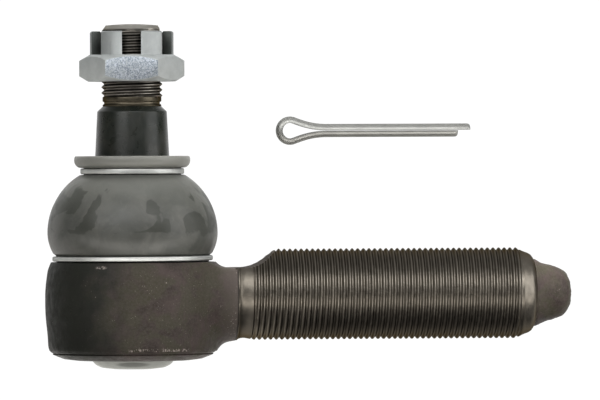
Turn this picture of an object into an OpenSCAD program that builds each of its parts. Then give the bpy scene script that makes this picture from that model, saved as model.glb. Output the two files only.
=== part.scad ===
// Tie rod end: a forged socket housing with a threaded shank, a ball stud held between two
// bearing shells, a rubber dust boot with its two rings, a castle nut and a loose split pin.
// Millimetres. Origin at the centre of the ball, +X along the shank, +Z up the ball stud.

/* [Housing] */
// Radius of the round socket at its widest
housing_r = 23.1; // [22.9:0.1:23.6]
// Height of the shoulder above the ball centre
shoulder_z = 8.7; // [8.5:0.1:8.9]
// Height of the flat on top of the neck
neck_flat_z = 7.1; // [6.5:0.1:8]
// Radius of the neck between the socket and the shank
neck_r = 12.4; // [12.1:0.1:13]

/* [Shank] */
// Major diameter of the shank thread
shank_d = 24; // [23:0.5:24]
// Where the shank thread ends
thread_end_x = 101.6; // [90:0.2:110]
// Length of the raw nub beyond the turned end
nub_len = 9.9; // [8:0.1:12]

/* [Ball stud] */
// Diameter of the ball
ball_d = 27; // [26.6:0.1:27]
// Large diameter of the stud's 1 in 10 cone
cone_d = 20.2; // [19.8:0.1:20.4]
// Major diameter of the stud thread
stud_thread_d = 16; // [15:0.5:16]
// Height of the stud's tip
stud_tip_z = 71.3; // [70.5:0.1:73]
// Diameter of the split pin's hole
cross_hole_d = 4; // [3.6:0.1:4.5]

/* [Dust boot] */
// Radius of the boot at its widest
boot_r = 22.4; // [22:0.1:23]
// Thickness of the boot's wall
boot_wall = 2.2; // [1.8:0.1:2.4]

/* [Castle nut] */
// Size across the flats
nut_af = 24; // [23.5:0.5:25]
// Height of the nut's lower face in the stored pose
nut_z = 56.2; // [55:0.1:57]
// Height of the hexagon
nut_hex_h = 7; // [6.5:0.1:7.5]
// Height of the slotted crown
nut_crown_h = 6.2; // [6:0.1:7]
// Width of a slot
slot_w = 5; // [4.5:0.1:5]
// How far the nut and the split pin's hole are turned about the stud
nut_turn = -5; // [-15:1:15]

/* [Split pin] */
// Diameter of the closed shaft
pin_d = 3.5; // [3:0.1:3.7]
// Where the pin's eye begins along X
pin_eye_x = 38; // [38:0.5:42]
// Length of the longer leg, measured from the eye's outer end
pin_len = 51.6; // [45:0.5:56]
// Height of the pin's axis in the stored pose
pin_z = 43.1; // [41:0.1:46]

/* [Hidden] */
$fn = 96;

ball_r = ball_d / 2;
ball_gap = 0.05;            // running clearance round the ball
shell_r = 16.3;             // outside of the bearing shells
bore_r = shell_r + 0.1;     // inside of the socket
barrel_z = -1.5;            // where the socket is widest
crimp_z = -14.75;           // lower edge of the forged barrel
neck_end_x = 27.3;          // where the forged neck gives way to the thread relief
thread_start_x = 31.4;      // where the relief gives way to the thread
rim_z = -17.25;             // lowest point of the rolled rim
plate_z = -14.5;            // upper face of the closing plate
plate_t = 1.65;             // its thickness
plate_r = 17.6;
dome_z = -19.55;            // lowest point of the closing plate's dome
groove_r = 18;              // groove that the boot sits in
mouth_z = 11.2;             // top of the edge above the groove
lip_top_z = 36.6;           // top of the boot's lip
cone_top_z = 48.3;
cone_foot_z = 29.5;
shank_r = shank_d / 2;
thread_r = stud_thread_d / 2;
slot_angles = [for (a = [30, 90, 150]) a + nut_turn];

// Points along a circular arc, from angle a0 to a1 in n steps
function arc(centre, r, a0, a1, n) =
    [for (i = [0:n]) centre + r * [cos(a0 + (a1 - a0) * i / n), sin(a0 + (a1 - a0) * i / n)]];

function reversed(v) = [for (i = [len(v) - 1:-1:0]) v[i]];

// Radius of the stud's cone at a height
function cone_r(z) = cone_d / 2 - (z - cone_foot_z) / 20;

// A body of revolution about X, from (x, radius) points
module turned_along_x(points) {
    rotate([0, 90, 0])
        rotate_extrude()
            polygon([for (p = points) [p[1], p[0]]]);
}

// A flat-sided wire swept along rings of 3-D points, one ring a step, as a closed solid
module swept(rings) {
    count = len(rings);
    sides = len(rings[0]);
    points = [for (ring = rings) for (p = ring) p];
    walls = [for (i = [0:count - 2]) for (j = [0:sides - 1])
        [i * sides + j, i * sides + (j + 1) % sides,
         (i + 1) * sides + (j + 1) % sides, (i + 1) * sides + j]];
    first_cap = [for (j = [sides - 1:-1:0]) j];
    last_cap = [for (j = [0:sides - 1]) (count - 1) * sides + j];
    polyhedron(points, concat(walls, [first_cap, last_cap]), convexity = 6);
}

// Outside of the round socket, with the boot's groove at the top and the rolled rim below
module socket_outside() {
    upper_r = 45;
    lower_r = 60;
    corner_z = shoulder_z - 2.1;
    lower_arc_z = -9.5;
    upper_turn = asin((corner_z - barrel_z) / upper_r);
    lower_turn = asin((barrel_z - lower_arc_z) / lower_r);
    rotate_extrude()
        polygon(concat(
            [[0, rim_z + 0.3], [12.4, rim_z], [18.2, rim_z + 0.45], [20.4, rim_z + 1.25],
             [housing_r - 1.5, rim_z + 2.1], [housing_r - 1.1, crimp_z], [housing_r - 0.75, -13.6]],
            arc([housing_r - lower_r, barrel_z], lower_r, -lower_turn, 0, 6),
            arc([housing_r - upper_r, barrel_z], upper_r, upper_turn / 6, upper_turn, 5),
            [[housing_r - 1.55, shoulder_z], [groove_r, shoulder_z], [groove_r, 10.25],
             [groove_r + 0.6, 10.4], [groove_r + 0.6, 10.9], [groove_r + 0.3, mouth_z],
             [0, mouth_z]]));
}

// Hollow of the socket: mouth, round seat, bore, seat of the closing plate and the rim's eye
module socket_hollow() {
    mouth_turn = acos(12.9 / bore_r);
    rotate_extrude()
        polygon(concat(
            [[0, rim_z - 1], [12.3, rim_z - 1], [12.3, -16.2], [plate_r + 0.1, -16.2],
             [plate_r + 0.1, plate_z + 0.05], [bore_r, plate_z + 0.05]],
            arc([0, 0], bore_r, 0, mouth_turn, 12),
            [[14.5, mouth_z], [15.4, mouth_z + 0.8], [0, mouth_z + 0.8]]));
}

// Neck, thread relief, shank at its major diameter, turned end and raw nub
module shank() {
    relief_r = shank_r - 0.3;
    nub_x = thread_end_x + 5;
    tip_x = nub_x + nub_len;
    difference() {
        turned_along_x([
            [8, 0], [8, neck_r + 2.8], [16, neck_r + 2.8], [22.5, neck_r + 0.4],
            [25.5, neck_r - 0.1], [neck_end_x, neck_r - 0.2],
            [neck_end_x, relief_r + 0.2], [neck_end_x + 1.5, relief_r], [thread_start_x, relief_r],
            [thread_start_x, shank_r], [thread_end_x, shank_r],
            [nub_x - 1.7, shank_r - 1.35], [nub_x - 0.7, shank_r - 2.3], [nub_x, shank_r - 3.4],
            [tip_x - 3, 6.4], [tip_x - 1.8, 5.6], [tip_x - 0.7, 4.2], [tip_x, 2.6], [tip_x, 0]]);
        neck_flat();
    }
}

// What is cut away above the neck so that the boot clears it, with a run-out up to the thread
module neck_flat() {
    fillet_r = 9.5;
    flat_end_x = 28.9;
    fillet_turn = 42;
    run_out_x = 38.6;
    half_w = 20;
    rotate([90, 0, 0])
        linear_extrude(height = 2 * half_w, center = true)
            polygon(concat(
                [[0, neck_flat_z]],
                arc([flat_end_x, neck_flat_z + fillet_r], fillet_r, -90, fillet_turn - 90, 8),
                [[run_out_x, 12.6], [run_out_x, half_w], [0, half_w]]));
}

module housing() {
    color([0.25, 0.22, 0.20])
        difference() {
            union() {
                socket_outside();
                shank();
            }
            socket_hollow();
        }
}

// Ball, neck, 1 in 10 cone, undercut and threaded end, with the split pin's hole
module ball_stud() {
    flat_z = -12.2;
    neck = 7.6;
    cross_z = stud_tip_z - 5.95;
    color([0.22, 0.23, 0.22])
        difference() {
            union() {
                difference() {
                    sphere(r = ball_r);
                    translate([0, 0, flat_z - 5])
                        cylinder(r = ball_r, h = 5);
                }
                rotate_extrude()
                    polygon([[0, 0], [6, 0], [8.1, 10.4], [neck, 11.9], [neck, 16], [8.4, 20.5],
                             [9.6, 26.5], [cone_r(28.8), 28.8], [cone_r(cone_foot_z), cone_foot_z],
                             [cone_r(cone_top_z), cone_top_z], [7.75, 50], [7.4, 50.4],
                             [7.4, 51], [thread_r, 51.6], [thread_r, stud_tip_z - 1.9],
                             [thread_r - 1.2, stud_tip_z - 0.35], [0, stud_tip_z]]);
            }
            rotate([0, 90, slot_angles[0]])
                translate([-cross_z, 0, 0])
                    cylinder(d = cross_hole_d, h = 30, center = true);
        }
}

// Upper half of the bearing, flared so that the stud can lean
module upper_bearing_shell() {
    mouth_turn = acos(12.95 / shell_r);
    color([0.85, 0.84, 0.78])
        difference() {
            rotate_extrude()
                polygon(concat(
                    [[6, 0.15]],
                    arc([0, 0], shell_r, asin(0.15 / shell_r), mouth_turn, 12),
                    [[12.7, 9.9], [11.2, 6.6], [6, 6.6]]));
            sphere(r = ball_r + ball_gap);
        }
}

// Lower half of the bearing, pressed up by the spring
module lower_bearing_shell() {
    color([0.85, 0.84, 0.78])
        difference() {
            rotate_extrude()
                polygon([[5, -0.15], [shell_r, -0.15], [shell_r, -12.2], [shell_r - 0.5, -12.75],
                         [9.3, -12.75], [9.3, -9], [5, -5]]);
            sphere(r = ball_r + ball_gap);
        }
}

// Steel ring between the spring and the lower bearing shell, open in the middle for the ball
module pressure_plate() {
    color([0.55, 0.56, 0.58])
        rotate_extrude()
            polygon([[5.4, -12.85], [15.5, -12.85], [15.9, -13.2], [15.9, -13.6], [15.5, -14],
                     [5.4, -14]]);
}

// Conical coil spring in the closing plate's dome
module pressure_spring() {
    wire_r = 0.65;
    turns = 2;
    steps = 48;
    low = [6.6, -16.85];
    high = [8.2, -14.72];
    function coil_point(t) = low + (high - low) * t;
    color([0.6, 0.6, 0.62])
        swept([for (i = [0:steps]) let (t = i / steps, at = coil_point(t), turn = 360 * turns * t)
            [for (j = [0:7]) let (r = at[0] + wire_r * cos(-45 * j))
                [r * cos(turn), r * sin(turn), at[1] + wire_r * sin(-45 * j)]]]);
}

// Pressed steel cap, held by the housing's rolled rim
module closing_plate() {
    color([0.62, 0.63, 0.65])
        rotate_extrude()
            polygon([[0, dome_z], [5, dome_z + 0.12], [8.35, dome_z + 0.55],
                     [9.67, dome_z + 1.15], [10.3, dome_z + 1.65], [10.6, -17.5], [11.2, -16.7],
                     [11.9, plate_z - plate_t], [plate_r, plate_z - plate_t], [plate_r, -15.9],
                     [16.2, plate_z], [10.2, plate_z], [9.7, -15.2], [9.3, -16.6], [8.8, -17.1],
                     [7.8, -17.55], [0, -17.9]]);
}

// Rubber ring in the corner between the closing plate and the bore
module plate_seal_ring() {
    color([0.08, 0.08, 0.08])
        rotate_extrude()
            translate([17.26, -14.89])
                circle(r = 0.4, $fn = 32);
}

// Hollow rubber boot: bead in the housing's groove, domed wall, ring seat and sealing lip
module dust_boot() {
    belly_z = 16.4;
    top_r = 17.8;
    low_r = 10.6;
    bead_r = 20.15;
    neck_out = 12.7;
    top_turn = 59;
    low_turn = 31;
    color([0.30, 0.31, 0.29])
        rotate_extrude()
            polygon(concat(
                [[groove_r + 0.05, shoulder_z + 0.1], [bead_r, shoulder_z + 0.1],
                 [bead_r, shoulder_z + 1.8]],
                arc([boot_r - low_r, belly_z], low_r, -low_turn, 0, 8),
                arc([boot_r - top_r, belly_z], top_r, top_turn / 16, top_turn, 15),
                [[neck_out, 31.7], [neck_out, 33.45], [13.9, 33.5], [14.4, 33.8], [15, 34.3],
                 [15.3, 35.4], [15.2, 36.4], [15, lip_top_z],
                 [cone_r(lip_top_z) + 0.06, lip_top_z], [cone_r(35.35) + 0.06, 35.35],
                 [13.65, 35.35], [13.65, 34.65], [11.4, 34.65], [11.4, 31]],
                arc([boot_r - top_r, belly_z], top_r - boot_wall, top_turn - 3, top_turn / 12, 12),
                arc([boot_r - low_r, belly_z], low_r - boot_wall, 0, -low_turn, 6),
                [[groove_r + 0.7, 11.3], [groove_r + 0.7, 10.35], [groove_r + 0.05, 10.2]]));
}

// Two-turn wire ring that holds the boot's bead in the housing's groove
module boot_lower_ring() {
    wire_r = 0.46;
    ring_r = 20.7;
    low_z = shoulder_z + 0.55;
    spacing = 0.88;
    color([0.75, 0.76, 0.78])
        rotate_extrude()
            for (z = [low_z, low_z + spacing])
                translate([ring_r, z])
                    circle(r = wire_r, $fn = 32);
}

// Steel band round the boot's neck
module boot_upper_ring() {
    color([0.75, 0.76, 0.78])
        rotate_extrude()
            polygon([[12.75, 31.85], [13.4, 31.85], [13.67, 32.15], [13.67, 33.05],
                     [13.4, 33.35], [12.75, 33.35]]);
}

// Steel ring of L section that stiffens the boot's neck and lip from inside
module boot_lip_insert() {
    color([0.6, 0.61, 0.63])
        rotate_extrude()
            polygon([[10.75, 31.05], [11.35, 31.05], [11.35, 34.7], [13.6, 34.7], [13.6, 35.3],
                     [10.75, 35.3]]);
}

// Hexagon with a slotted crown. One slot lies across each flat
module castle_nut() {
    hex_top = nut_z + nut_hex_h;
    crown_top = hex_top + nut_crown_h;
    corner_r = nut_af / sqrt(3);
    crown_r = 11;
    bore = thread_r + 0.06;
    color([0.68, 0.71, 0.74])
        difference() {
            union() {
                intersection() {
                    rotate([0, 0, nut_turn])
                        translate([0, 0, nut_z])
                            cylinder(r = corner_r, h = nut_hex_h, $fn = 6);
                    rotate_extrude()
                        polygon([[0, nut_z], [11.5, nut_z], [14.8, nut_z + 2],
                                 [14.8, hex_top - 2.1], [crown_r + 0.2, hex_top], [0, hex_top]]);
                }
                rotate_extrude()
                    polygon([[0, nut_z + 1], [crown_r, nut_z + 1], [crown_r, crown_top - 0.4],
                             [crown_r - 0.4, crown_top], [0, crown_top]]);
            }
            translate([0, 0, nut_z - 1])
                cylinder(r = bore, h = nut_hex_h + nut_crown_h + 2);
            rotate_extrude()
                polygon([[0, nut_z - 1], [9.7, nut_z - 1], [bore, nut_z + 0.64], [0, nut_z + 0.64]]);
            for (turn = slot_angles)
                rotate([0, 0, turn])
                    translate([-15, -slot_w / 2, hex_top])
                        cube([30, slot_w, nut_crown_h + 1]);
        }
}

// Split pin lying level beside the stud: an eye and two half-round legs of unequal length
module split_pin() {
    leg_r = pin_d / 2 - 0.03;
    eye_out = 3.75;
    eye_in = eye_out - leg_r;
    eye_x = pin_eye_x + eye_out;
    slope = 20;                 // how steeply the eye's sides close on the shaft
    bend_r = 22;
    gap = 0.03;                 // half the gap between the legs
    side = (eye_in * cos(slope) - gap - bend_r * (1 - cos(slope))) / sin(slope);
    bend_x = eye_x + eye_in * sin(slope) + side * cos(slope) + bend_r * sin(slope);
    tip_x = pin_eye_x + pin_len;
    short_by = 3.3;
    // Each step is x, z and the outward direction's angle, from the eye's end along the upper leg
    function half_path(leg_end) = concat(
        [for (i = [0:10]) let (a = 180 - i * (90 + slope) / 10)
            [eye_x + eye_in * cos(a), eye_in * sin(a), a]],
        [for (i = [0:8]) let (a = slope * (1 - i / 8))
            [bend_x - bend_r * sin(a), gap + bend_r * (1 - cos(a)), 90 - a]],
        [[leg_end, gap, 90]]);
    function mirrored(path) = [for (s = path) [s[0], -s[1], -s[2]]];
    upper = half_path(tip_x);
    lower = mirrored(half_path(tip_x - short_by));
    path = concat(reversed(upper), [for (i = [1:len(lower) - 1]) lower[i]]);
    color([0.72, 0.72, 0.70])
        swept([for (s = path)
            [for (j = [0:10]) let (a = 90 - 18 * j, out = leg_r * cos(a))
                [s[0] + out * cos(s[2]), leg_r * sin(a), pin_z + s[1] + out * sin(s[2])]]]);
}

housing();
ball_stud();
upper_bearing_shell();
lower_bearing_shell();
pressure_plate();
pressure_spring();
closing_plate();
plate_seal_ring();
dust_boot();
boot_lower_ring();
boot_upper_ring();
boot_lip_insert();
castle_nut();
split_pin();
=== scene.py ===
"""Looks of the tie rod end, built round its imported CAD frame.

Every object is in metres in the part's own frame: ball centre at the origin, +X along the shank,
+Z up the ball stud. Outlines are written in millimetres, and add_solid() turns them into metres.
"""

import math

import bmesh
import bpy
import numpy as np
from mathutils import Euler, Matrix, Vector, noise


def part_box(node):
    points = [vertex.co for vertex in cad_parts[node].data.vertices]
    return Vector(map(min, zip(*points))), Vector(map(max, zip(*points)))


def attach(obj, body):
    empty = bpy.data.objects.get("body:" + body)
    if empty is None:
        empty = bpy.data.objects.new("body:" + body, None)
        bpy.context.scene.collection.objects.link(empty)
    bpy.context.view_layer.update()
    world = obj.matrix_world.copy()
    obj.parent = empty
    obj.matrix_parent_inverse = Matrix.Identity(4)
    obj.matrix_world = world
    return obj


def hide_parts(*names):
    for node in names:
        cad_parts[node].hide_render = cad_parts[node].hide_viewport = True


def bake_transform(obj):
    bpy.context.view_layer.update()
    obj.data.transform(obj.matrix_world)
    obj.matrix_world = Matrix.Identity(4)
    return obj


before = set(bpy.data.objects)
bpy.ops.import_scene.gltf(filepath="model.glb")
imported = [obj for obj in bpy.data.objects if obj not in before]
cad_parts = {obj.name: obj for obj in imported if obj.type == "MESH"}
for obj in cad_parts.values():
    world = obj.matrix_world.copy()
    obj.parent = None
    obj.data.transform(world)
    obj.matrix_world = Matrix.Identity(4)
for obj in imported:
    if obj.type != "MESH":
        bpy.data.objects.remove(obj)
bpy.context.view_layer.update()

MM = 0.001


def node_box(node):
    """Lowest and highest corner of a CAD node, in millimetres."""
    low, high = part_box(node)
    return low / MM, high / MM


# Driving dimensions, from the frame
HOUSING_LOW, HOUSING_HIGH = node_box("housing")
NUT_LOW, NUT_HIGH = node_box("castle_nut")
PIN_LOW, PIN_HIGH = node_box("split_pin")
STUD_TIP_Z = node_box("ball_stud")[1].z
PLATE_Z = node_box("closing_plate")[0].z
BOOT_HIGH = node_box("dust_boot")[1]

RIM_Z = HOUSING_LOW.z
TIP_X = HOUSING_HIGH.x
BARREL_R = -HOUSING_LOW.x
SHOULDER_Z = 8.7
MOUTH_Z = 11.2
CRIMP_Z = -14.75
FLAT_Z = 7.1
NECK_R = 12.4
NECK_END_X = 27.3
RELIEF_R = 11.6
RELIEF_END_X = 31.4
SHANK_R = 12.0
NUB_X = TIP_X - 9.9
THREAD_END_X = NUB_X - 5.0
STUD_R = 8.0
CONE_FOOT_Z, CONE_TOP_Z = 29.5, 48.3
CONE_FOOT_R = 10.1
CROSS_HOLE_Z = STUD_TIP_Z - 5.95
CROSS_HOLE_R = 2.0
PITCH = 1.5
THREAD_DEPTH = 0.42 * PITCH
NUT_TURN = -5
SLOT_ANGLES = (30 + NUT_TURN, 90 + NUT_TURN, 150 + NUT_TURN)


# ---------------------------------------------------------------- outlines and solids

def arc(centre, radius, start, end, steps):
    """Points along an arc; the angles are in degrees."""
    turns = np.radians(np.linspace(start, end, steps + 1))
    return [(centre[0] + radius * math.cos(a), centre[1] + radius * math.sin(a)) for a in turns]


def rounded(outline, radius, steps=3, least_turn=18):
    """A closed outline with its corners rounded. Corners that turn less than least_turn stay."""
    points = [Vector(p) for p in outline]
    result = []
    for i, here in enumerate(points):
        back, ahead = points[i - 1] - here, points[(i + 1) % len(points)] - here
        on_axis = here.x < 1e-6
        if on_axis or math.degrees(math.pi - back.angle(ahead, math.pi)) < least_turn:
            result.append(here)
            continue
        start = here + back.normalized() * min(radius, 0.45 * back.length)
        end = here + ahead.normalized() * min(radius, 0.45 * ahead.length)
        for t in np.linspace(0, 1, steps + 1):
            result.append(start * (1 - t) ** 2 + here * 2 * t * (1 - t) + end * t ** 2)
    return [tuple(p) for p in result]


def divided(outline, longest):
    """A closed outline whose long edges are cut into shorter ones."""
    result = []
    for i, (a, b) in enumerate(outline):
        c, d = outline[(i + 1) % len(outline)]
        count = max(1, math.ceil(math.hypot(c - a, d - b) / longest))
        result += [(a + (c - a) * k / count, b + (d - b) * k / count) for k in range(count)]
    return result


def add_solid(name, points, faces, axis="Z"):
    """A mesh object from points in millimetres. With axis X, the solid's own +Z lies along +X."""
    points = np.asarray(points, float) * MM
    if axis == "X":
        points = points[:, [2, 0, 1]]
    mesh = bpy.data.meshes.new(name)
    mesh.from_pydata(points.tolist(), [], faces)
    mesh.validate()
    solid = bpy.data.objects.new(name, mesh)
    bpy.context.scene.collection.objects.link(solid)
    return solid


def revolve(name, outline, segments=128, axis="Z"):
    """A body of revolution from a closed outline of (radius, height) that runs anticlockwise."""
    turns = np.linspace(0, 2 * math.pi, segments, endpoint=False)
    points, rings = [], []
    for r, h in outline:
        if r < 1e-6:
            rings.append([len(points)] * segments)
            points.append((0, 0, h))
        else:
            rings.append(list(range(len(points), len(points) + segments)))
            points += [(r * math.cos(a), r * math.sin(a), h) for a in turns]
    faces = []
    for lower, upper in zip(rings, rings[1:] + rings[:1]):
        for j in range(segments):
            k = (j + 1) % segments
            corners = list(dict.fromkeys([lower[j], lower[k], upper[k], upper[j]]))
            if len(corners) > 2:
                faces.append(corners)
    return add_solid(name, points, faces, axis)


def sweep(name, rings):
    """A closed solid through rings of points, with a flat cap at each end."""
    sides = len(rings[0])
    faces = [list(range(sides))[::-1], [(len(rings) - 1) * sides + j for j in range(sides)]]
    for i in range(len(rings) - 1):
        for j in range(sides):
            k = (j + 1) % sides
            faces.append([i * sides + j, i * sides + k, (i + 1) * sides + k, (i + 1) * sides + j])
    return add_solid(name, [p for ring in rings for p in ring], faces)


def extrude_across(name, outline, half_width):
    """A prism across Y from an outline of (x, z) that runs anticlockwise seen along +Y."""
    count = len(outline)
    points = [(x, y, z) for y in (-half_width, half_width) for x, z in outline]
    faces = [list(range(count)), list(range(2 * count - 1, count - 1, -1))]
    for i in range(count):
        k = (i + 1) % count
        faces.append([k, i, i + count, k + count])
    solid = add_solid(name, points, faces)
    repair_normals(solid)
    return solid


def turned(solid, angle, axis="Z"):
    """Turns a solid about an axis through the origin, by degrees."""
    solid.data.transform(Matrix.Rotation(math.radians(angle), 4, axis))
    return solid


def repair_normals(solid):
    """Turns every face of a closed solid outward."""
    mesh = bmesh.new()
    mesh.from_mesh(solid.data)
    bmesh.ops.recalc_face_normals(mesh, faces=mesh.faces)
    mesh.to_mesh(solid.data)
    mesh.free()


def threaded_rod(name, radius, hand, start, end, limit, segments, axis):
    """A closed rod whose grid follows its helix, so that crests and roots are clean edges.

    hand is 1 for a right-hand thread and -1 for a left-hand one. limit(z) caps the radius."""
    depth, ease = THREAD_DEPTH, 0.04
    turn_profile = [(-0.095, ease), (-0.06, 0), (0.06, 0), (0.095, ease),
                    (0.40, depth - ease), (0.45, depth), (0.55, depth), (0.60, depth - ease)]
    per_turn = len(turn_profile)
    first, last = math.floor(start / PITCH) - 2, math.ceil(end / PITCH) + 2
    rows = np.array([(k + f, d) for k in range(first, last) for f, d in turn_profile])
    turn = np.linspace(0, 1, segments, endpoint=False)
    z = PITCH * (rows[:, :1] + hand * turn[None, :])
    r = np.minimum(radius - rows[:, 1:], limit(z))
    angle = 2 * math.pi * turn[None, :]
    points = np.stack([r * np.cos(angle), r * np.sin(angle), z], -1).reshape(-1, 3)
    faces = []
    for i in range(len(rows) - 1):
        for j in range(segments):
            k, shift = (j + 1) % segments, 0 if j < segments - 1 else hand * per_turn
            if 0 <= i + shift and i + 1 + shift < len(rows):
                faces.append([i * segments + j, (i + shift) * segments + k,
                              (i + 1 + shift) * segments + k, (i + 1) * segments + j])
    rod = add_solid(name, points, faces, axis)
    along = Vector((1, 0, 0)) if axis == "X" else Vector((0, 0, 1))
    cut_square(rod, along * start * MM, -along)
    cut_square(rod, along * end * MM, along)
    return rod


def cut_square(solid, place, outward):
    """Cuts off what lies beyond a plane and closes the cut with a flat face."""
    mesh = bmesh.new()
    mesh.from_mesh(solid.data)
    bmesh.ops.bisect_plane(mesh, geom=mesh.verts[:] + mesh.edges[:] + mesh.faces[:], dist=1e-7,
                           plane_co=place, plane_no=outward, clear_outer=True)
    rim = [e for e in mesh.edges if e.is_boundary
           and all(abs((v.co - place).dot(outward)) < 1e-6 for v in e.verts)]
    bmesh.ops.edgeloop_fill(mesh, edges=rim)
    bmesh.ops.recalc_face_normals(mesh, faces=mesh.faces)
    mesh.to_mesh(solid.data)
    mesh.free()


def apply_modifiers(solid):
    """Makes a solid's modifiers part of its mesh."""
    graph = bpy.context.evaluated_depsgraph_get()
    finished = bpy.data.meshes.new_from_object(solid.evaluated_get(graph))
    solid.modifiers.clear()
    solid.data = finished


def combine(solid, other, operation):
    """UNION, DIFFERENCE or INTERSECT with another closed solid, which is used up."""
    modifier = solid.modifiers.new("combine", "BOOLEAN")
    modifier.operation = operation
    modifier.solver = "MANIFOLD"
    modifier.object = other
    apply_modifiers(solid)
    bpy.data.objects.remove(other)


def bevel(solid, width, segments, angle):
    """Rounds the edges sharper than the angle in degrees; width in millimetres."""
    modifier = solid.modifiers.new("bevel", "BEVEL")
    modifier.width = width * MM
    modifier.segments = segments
    modifier.limit_method = "ANGLE"
    modifier.angle_limit = math.radians(angle)
    apply_modifiers(solid)


def roughen(solid, height, size, octaves=3, within=None):
    """Moves the surface in and out by fractal noise: height and size in millimetres."""
    mesh = solid.data
    normals = [v.normal.copy() for v in mesh.vertices]
    for vertex, normal in zip(mesh.vertices, normals):
        if within is None or within(vertex.co / MM):
            lift = noise.fractal(vertex.co / (size * MM), 1.0, 2.0, octaves)
            vertex.co += normal * lift * height * MM


def shade(solid, crease=35):
    """Smooth shading, with edges sharper than the crease angle left crisp."""
    solid.data.polygons.foreach_set("use_smooth", [True] * len(solid.data.polygons))
    solid.data.set_sharp_from_angle(angle=math.radians(crease))
    solid.data.update()


# ---------------------------------------------------------------- forged body as a distance field

def distance_to_outline(a, b, outline):
    """Signed distance from points (a, b) to a closed outline: below zero inside."""
    nearest = np.full(a.shape, 1e9)
    inside = np.zeros(a.shape, bool)
    for (a0, b0), (a1, b1) in zip(outline, outline[1:] + outline[:1]):
        da, db = a1 - a0, b1 - b0
        t = np.clip(((a - a0) * da + (b - b0) * db) / (da * da + db * db), 0, 1)
        nearest = np.minimum(nearest, (a - a0 - t * da) ** 2 + (b - b0 - t * db) ** 2)
        if db:
            inside ^= ((b0 > b) != (b1 > b)) & (a < a0 + (b - b0) * da / db)
    return np.where(inside, -1, 1) * np.sqrt(nearest)


def smooth_min(a, b, width):
    """The lesser of two distances, blended where they differ by less than the width."""
    mix = np.clip(0.5 + 0.5 * (b - a) / width, 0, 1)
    return b + (a - b) * mix - width * mix * (1 - mix)


def smooth_max(a, b, width):
    """The greater of two distances, blended in the same way."""
    return -smooth_min(-a, -b, width)


def net_surface(name, field, low, high, step):
    """A closed quad mesh on the zero surface of field(x, y, z), by surface nets."""
    axes = [np.arange(lo, hi + step, step) for lo, hi in zip(low, high)]
    grid = np.meshgrid(*axes, indexing="ij")
    value = field(*grid)
    inside = value < 0
    cells = tuple(n - 1 for n in value.shape)
    total, crossings = np.zeros(cells + (3,)), np.zeros(cells)
    faces = []
    number = np.arange(np.prod(cells)).reshape(cells)
    for axis in range(3):
        ahead = [slice(None)] * 3
        behind = [slice(None)] * 3
        ahead[axis], behind[axis] = slice(1, None), slice(None, -1)
        v0, v1 = value[tuple(behind)], value[tuple(ahead)]
        crossed = inside[tuple(behind)] != inside[tuple(ahead)]
        t = np.where(crossed, v0 / np.where(crossed, v0 - v1, 1), 0)
        others = [k for k in range(3) if k != axis]
        place = np.stack([g[tuple(behind)] for g in grid], -1)
        place[..., axis] += t * step
        for du in (0, 1):
            for dv in (0, 1):
                part = [slice(None)] * 3
                part[others[0]] = slice(du, du + cells[others[0]])
                part[others[1]] = slice(dv, dv + cells[others[1]])
                hit = crossed[tuple(part)]
                total += np.where(hit[..., None], place[tuple(part)], 0)
                crossings += hit
        inner = [slice(None)] * 3
        inner[others[0]] = inner[others[1]] = slice(1, -1)
        i, j, k = np.nonzero(crossed[tuple(inner)])
        corner = np.stack([i, j, k], -1)
        leaving = inside[tuple(behind)][tuple(inner)][i, j, k]
        ring = []
        for du, dv in ((0, 0), (1, 0), (1, 1), (0, 1)):
            cell = corner.copy()
            cell[:, others[0]] += du
            cell[:, others[1]] += dv
            ring.append(number[tuple(cell.T)])
        quads = np.stack(ring, -1)
        flip = leaving if axis == 1 else ~leaving
        quads[flip] = quads[flip][:, ::-1]
        faces.append(quads)
    faces = np.concatenate(faces)
    used, faces = np.unique(faces, return_inverse=True)
    points = (total / np.maximum(crossings, 1)[..., None]).reshape(-1, 3)[used]
    points = settle(points, field, step)
    return add_solid(name, points, faces.reshape(-1, 4).tolist())


def settle(points, field, step, passes=3, reach=0.02):
    """Moves points onto the field's zero surface, by no more than half a step a pass."""
    for _ in range(passes):
        value = field(*points.T)
        slope = np.stack([(field(*(points + reach * e).T) - field(*(points - reach * e).T))
                          / (2 * reach) for e in np.eye(3)], -1)
        move = -value[:, None] * slope / np.maximum((slope ** 2).sum(1), 0.25)[:, None]
        points = points + np.clip(move, -step / 2, step / 2)
    return points


# ---------------------------------------------------------------- housing

BORE_R = 16.4


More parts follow.
